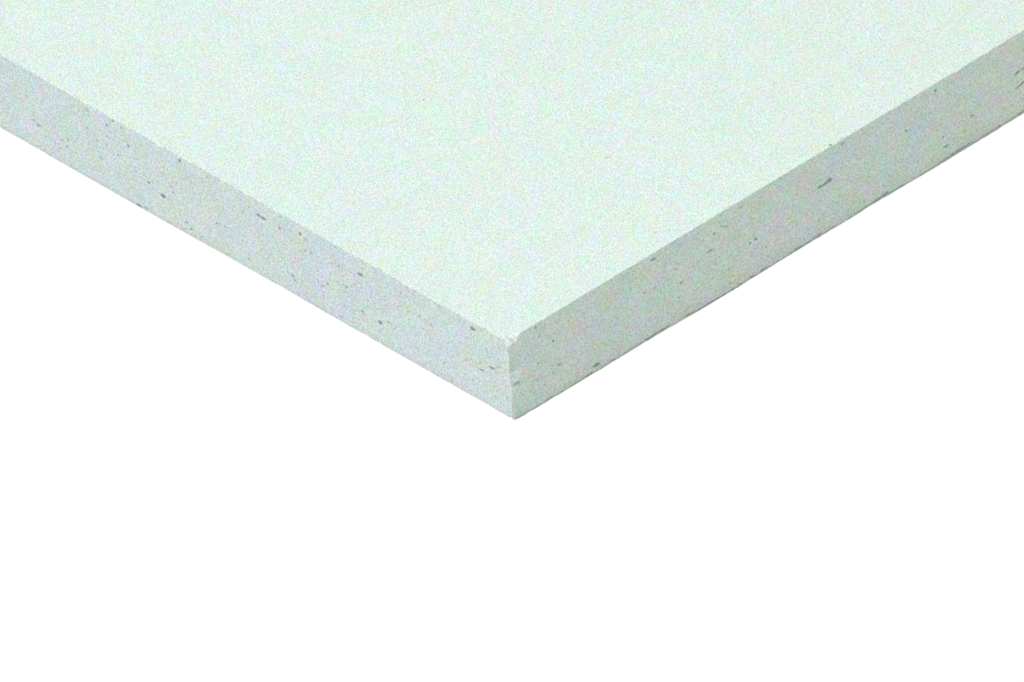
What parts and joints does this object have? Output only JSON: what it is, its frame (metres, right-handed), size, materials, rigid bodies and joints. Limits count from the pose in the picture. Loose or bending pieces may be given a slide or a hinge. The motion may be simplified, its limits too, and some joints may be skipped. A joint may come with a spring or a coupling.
{
  "type": "drywall sheet",
  "caption": "Flat rectangular sheet of pale grey-green gypsum fibreboard with square sawn edges, small dark paper-fibre flecks in its edges and a lightly worn corner.",
  "frame": {"origin": "centre of the back face, the face that the sheet lies on", "axes": "+X along the sheet's length, +Y across its width, +Z through its thickness from the back face to the front face"},
  "size_m": [1.5, 1, 0.0125],
  "materials": {
    "gypsum": "matt, finely fibrous, unpainted gypsum fibreboard, pale grey-green",
    "paper_fleck": "matt dark grey-brown flecks of paper fibre pressed into the board"
  },
  "bodies": {
    "root": {"board": "gypsum"}
  },
  "joints": []
}
